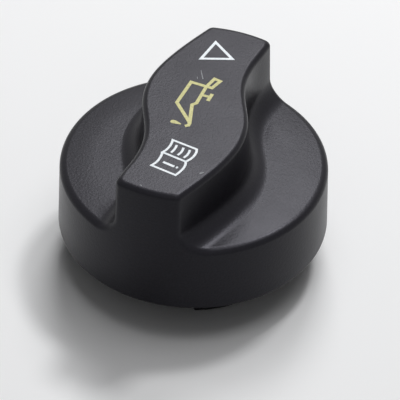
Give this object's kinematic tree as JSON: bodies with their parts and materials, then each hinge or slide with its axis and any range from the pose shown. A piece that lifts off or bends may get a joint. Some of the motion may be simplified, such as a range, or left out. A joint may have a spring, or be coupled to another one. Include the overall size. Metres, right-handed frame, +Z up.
{
  "type": "oil filler cap",
  "caption": "Round bayonet filler cap with a tall S-shaped grip across a flat shoulder, a hollow stem with lugs and a sealing ring.",
  "frame": {"origin": "centre of the stem's foot, on the surface that the cap stands on", "axes": "+Z up the axis of the cap to the top of the grip; the long axis of the grip lies along Y"},
  "size_m": [0.066, 0.066, 0.0452],
  "materials": {
    "body": "fine spark-eroded grain",
    "insert": "plain moulded",
    "ring": "smooth moulded rubber"
  },
  "bodies": {
    "root": {"cap_body": "body", "bayonet_insert": "insert", "sealing_ring": "ring"}
  },
  "joints": []
}
